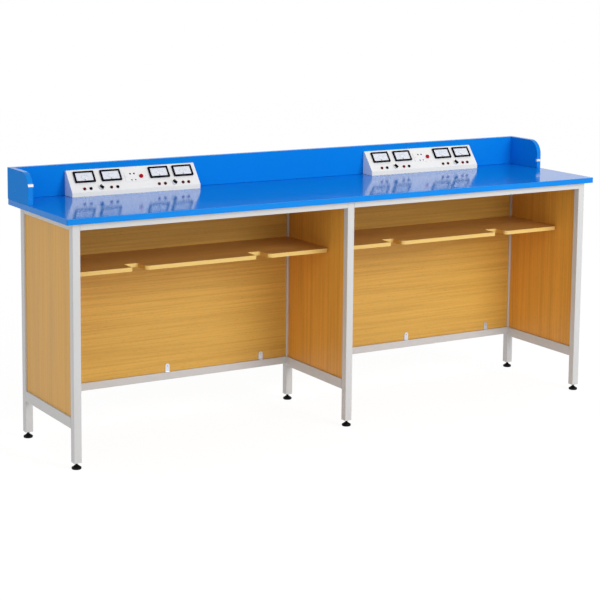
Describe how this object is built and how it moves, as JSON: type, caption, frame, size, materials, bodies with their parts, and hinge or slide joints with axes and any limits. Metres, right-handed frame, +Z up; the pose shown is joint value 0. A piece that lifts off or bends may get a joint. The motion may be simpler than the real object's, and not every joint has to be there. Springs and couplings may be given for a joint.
{
  "type": "laboratory table",
  "caption": "Two-bay laboratory table: blue top with an upstand, grey tube frame on levelling feet, beech boards, notched shelves, and sloping consoles with meters, terminals and sockets.",
  "frame": {"origin": "on the floor, under the centre of the table's overall box", "axes": "+X to the right along the table as its user sees it, +Y from the user to the backboard, +Z up"},
  "size_m": [2.4, 0.56, 1.0403],
  "materials": {
    "blue_laminate": "gloss laminate on board",
    "grey_powder_coat": "satin powder coat",
    "beech_board": "satin beech grain",
    "black_nylon": "matt",
    "zinc_plate": "bright zinc",
    "white_plastic": "gloss",
    "white_enamel": "gloss enamel",
    "black_plastic": "gloss",
    "red_plastic": "gloss"
  },
  "bodies": {
    "table": {"worktop": "blue_laminate", "backboard": "blue_laminate", "left_cheek": "blue_laminate", "right_cheek": "blue_laminate", "left_cheek_clip": "white_plastic", "right_cheek_clip": "white_plastic", "front_left_leg": "grey_powder_coat", "back_left_leg": "grey_powder_coat", "left_top_rail": "grey_powder_coat", "left_bottom_rail": "grey_powder_coat", "left_side_panel": "beech_board", "front_middle_leg": "grey_powder_coat", "back_middle_leg": "grey_powder_coat", "middle_top_rail": "grey_powder_coat", "middle_bottom_rail": "grey_powder_coat", "middle_side_panel": "beech_board", "front_right_leg": "grey_powder_coat", "back_right_leg": "grey_powder_coat", "right_top_rail": "grey_powder_coat", "right_bottom_rail": "grey_powder_coat", "right_side_panel": "beech_board", "front_top_rail_left": "grey_powder_coat", "back_top_rail_left": "grey_powder_coat", "back_bottom_rail_left": "grey_powder_coat", "left_back_panel": "beech_board", "left_shelf": "beech_board", "left_panel_clip_1": "zinc_plate", "left_panel_clip_2": "zinc_plate", "left_console_housing": "white_enamel", "left_meter_1": "black_plastic", "left_meter_2": "black_plastic", "left_meter_3": "black_plastic", "left_meter_4": "black_plastic", "left_socket_plate": "white_plastic", "front_top_rail_right": "grey_powder_coat", "back_top_rail_right": "grey_powder_coat", "back_bottom_rail_right": "grey_powder_coat", "right_back_panel": "beech_board", "right_shelf": "beech_board", "right_panel_clip_1": "zinc_plate", "right_panel_clip_2": "zinc_plate", "right_console_housing": "white_enamel", "right_meter_1": "black_plastic", "right_meter_2": "black_plastic", "right_meter_3": "black_plastic", "right_meter_4": "black_plastic", "right_socket_plate": "white_plastic"},
    "front_left_foot": {"front_left_foot": "black_nylon"},
    "back_left_foot": {"back_left_foot": "black_nylon"},
    "front_middle_foot": {"front_middle_foot": "black_nylon"},
    "back_middle_foot": {"back_middle_foot": "black_nylon"},
    "front_right_foot": {"front_right_foot": "black_nylon"},
    "back_right_foot": {"back_right_foot": "black_nylon"},
    "left_push_button": {"left_push_button": "red_plastic"},
    "left_knob_1": {"left_knob_1": "black_plastic"},
    "left_knob_2": {"left_knob_2": "black_plastic"},
    "right_push_button": {"right_push_button": "red_plastic"},
    "right_knob_1": {"right_knob_1": "black_plastic"},
    "right_knob_2": {"right_knob_2": "black_plastic"}
  },
  "joints": [
    {"name": "front_left_foot_screw", "type": "slide", "parent": "table", "child": "front_left_foot", "axis": [0, 0, -1], "range_m": [0, 0.02]},
    {"name": "back_left_foot_screw", "type": "slide", "parent": "table", "child": "back_left_foot", "axis": [0, 0, -1], "range_m": [0, 0.02]},
    {"name": "front_middle_foot_screw", "type": "slide", "parent": "table", "child": "front_middle_foot", "axis": [0, 0, -1], "range_m": [0, 0.02]},
    {"name": "back_middle_foot_screw", "type": "slide", "parent": "table", "child": "back_middle_foot", "axis": [0, 0, -1], "range_m": [0, 0.02]},
    {"name": "front_right_foot_screw", "type": "slide", "parent": "table", "child": "front_right_foot", "axis": [0, 0, -1], "range_m": [0, 0.02]},
    {"name": "back_right_foot_screw", "type": "slide", "parent": "table", "child": "back_right_foot", "axis": [0, 0, -1], "range_m": [0, 0.02]},
    {"name": "left_push_button_travel", "type": "slide", "parent": "table", "child": "left_push_button", "axis": [0, 0.7828, -0.6222], "range_m": [0, 0.004], "stiffness_N_per_m": 300, "springref_m": -0.003},
    {"name": "left_knob_1_turn", "type": "hinge", "parent": "table", "child": "left_knob_1", "pos_m": [-0.85, 0.19872, 0.94965], "axis": [0, -0.7828, 0.6222], "range_deg": [-185, 115]},
    {"name": "left_knob_2_turn", "type": "hinge", "parent": "table", "child": "left_knob_2", "pos_m": [-0.5355, 0.19872, 0.94965], "axis": [0, -0.7828, 0.6222], "range_deg": [-185, 115]},
    {"name": "right_push_button_travel", "type": "slide", "parent": "table", "child": "right_push_button", "axis": [0, 0.7828, -0.6222], "range_m": [0, 0.004], "stiffness_N_per_m": 300, "springref_m": -0.003},
    {"name": "right_knob_1_turn", "type": "hinge", "parent": "table", "child": "right_knob_1", "pos_m": [0.515, 0.19872, 0.94965], "axis": [0, -0.7828, 0.6222], "range_deg": [-185, 115]},
    {"name": "right_knob_2_turn", "type": "hinge", "parent": "table", "child": "right_knob_2", "pos_m": [0.8295, 0.19872, 0.94965], "axis": [0, -0.7828, 0.6222], "range_deg": [-185, 115]}
  ]
}
